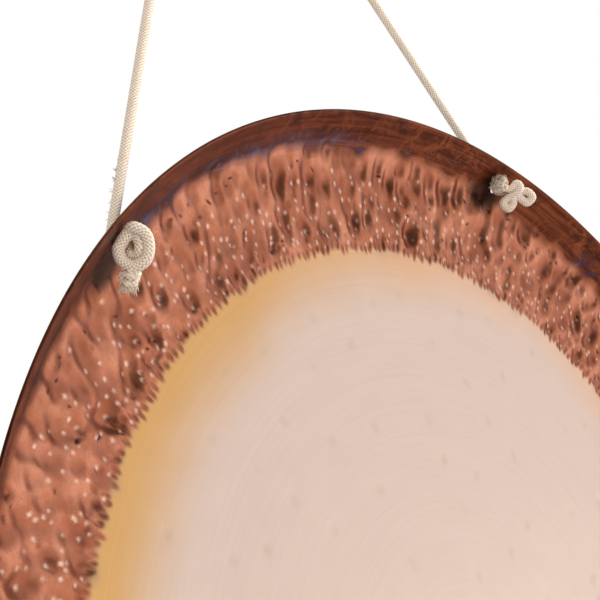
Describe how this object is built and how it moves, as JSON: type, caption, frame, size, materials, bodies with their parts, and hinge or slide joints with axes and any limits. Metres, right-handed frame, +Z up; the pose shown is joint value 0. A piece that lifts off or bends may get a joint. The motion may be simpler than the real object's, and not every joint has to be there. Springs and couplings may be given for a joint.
{
  "type": "tam tam gong",
  "caption": "Dished bronze tam tam with turned-up rim, hammered ring and polished centre, hung by a knotted braided cord from an S-hook.",
  "frame": {"origin": "highest point inside the S-hook's upper bend, where it bears on whatever carries it", "axes": "+Z up; the concave side of the disc, with the rim standing forward, faces -Y; +X to the right seen from that side"},
  "size_m": [0.8036, 0.1081, 1.1605],
  "materials": {
    "hook_steel": "zinc plated, slightly dull",
    "cord_cotton": "braided undyed cotton",
    "disc_bronze": "hammered copper-brown ring, lathe-polished pale centre, dark patinated rim"
  },
  "bodies": {
    "hook": {"s_hook": "hook_steel"},
    "loop": {"top_loop": "cord_cotton"},
    "sling": {"top_knot": "cord_cotton", "left_cord": "cord_cotton", "right_cord": "cord_cotton"},
    "disc": {"gong_disc": "disc_bronze", "left_knot": "cord_cotton", "left_tail": "cord_cotton", "right_knot": "cord_cotton", "right_tail": "cord_cotton"}
  },
  "joints": [
    {"name": "hook_swing", "type": "hinge", "parent": "hook", "child": "loop", "pos_m": [0, 0, -0.0475], "axis": [1, 0, 0], "range_deg": [-30, 30]},
    {"name": "sling_twist", "type": "hinge", "parent": "loop", "child": "sling", "pos_m": [0, 0, -0.0685], "axis": [0, 0, 1], "range_deg": [-30, 30]},
    {"name": "disc_tilt", "type": "hinge", "parent": "sling", "child": "disc", "pos_m": [0, 0, -0.42], "axis": [1, 0, 0], "range_deg": [-12, 12]}
  ]
}
